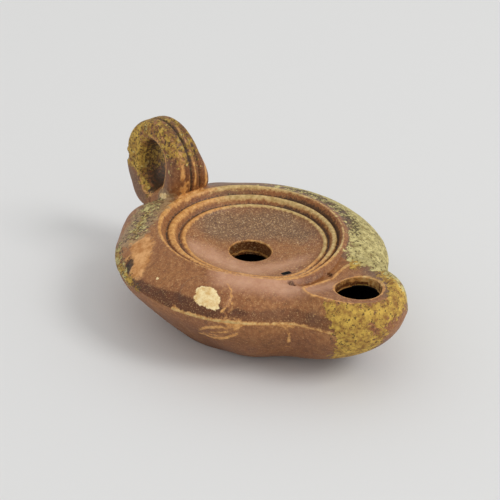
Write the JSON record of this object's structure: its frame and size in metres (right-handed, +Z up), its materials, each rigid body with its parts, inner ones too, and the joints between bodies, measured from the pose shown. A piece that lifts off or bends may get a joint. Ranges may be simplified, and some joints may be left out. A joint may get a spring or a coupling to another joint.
{
  "type": "clay oil lamp",
  "caption": "Round hollow clay oil lamp with a sunk disc, ringed rim, filling hole, spouted nozzle with a wick hole, and a ribbed ring handle.",
  "frame": {"origin": "centre of the flat round base, on the axis of the round body", "axes": "+Z up, -Y towards the nozzle, +Y towards the handle, X across"},
  "size_m": [0.0756, 0.1031, 0.0446],
  "materials": {
    "fired_clay": "satin"
  },
  "bodies": {
    "root": {"oil_lamp": "fired_clay"}
  },
  "joints": []
}
